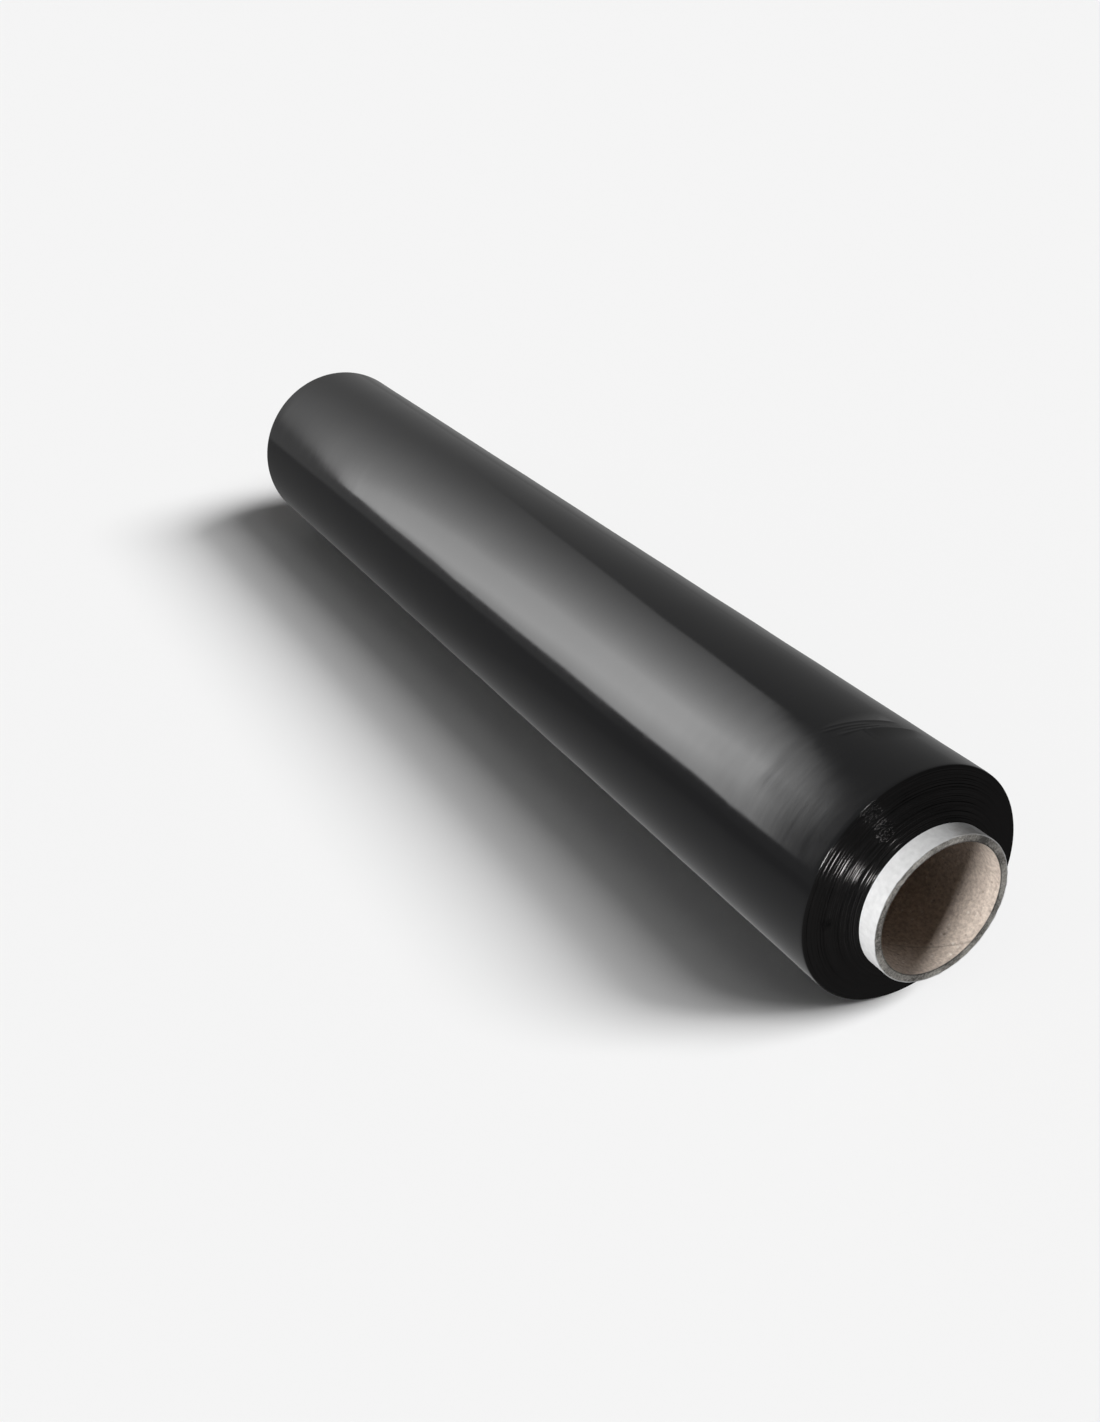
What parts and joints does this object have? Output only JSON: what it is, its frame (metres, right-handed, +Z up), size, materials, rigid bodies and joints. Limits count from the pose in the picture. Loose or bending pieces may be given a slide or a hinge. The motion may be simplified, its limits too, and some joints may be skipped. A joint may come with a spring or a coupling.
{
  "type": "stretch wrap roll",
  "caption": "Hand roll of black stretch film wound on a white-faced paperboard core that stands out at both ends, lying on its side.",
  "frame": {"origin": "middle of the flat spot that the roll lies on, at floor level", "axes": "+X along the roll's axis towards the end nearest the camera, +Z up, +Y away from the side that faces the camera"},
  "size_m": [0.53, 0.09, 0.0896],
  "materials": {
    "stretch_film": "black cling film, satin gloss over the turns, matt on the wound edges",
    "grey_board": "grey-brown recycled chipboard, matt and flecked",
    "white_paper": "white machine-finished paper, matt"
  },
  "bodies": {
    "root": {"film_roll": "stretch_film", "core_tube": "grey_board", "core_white_ply": "white_paper"}
  },
  "joints": []
}
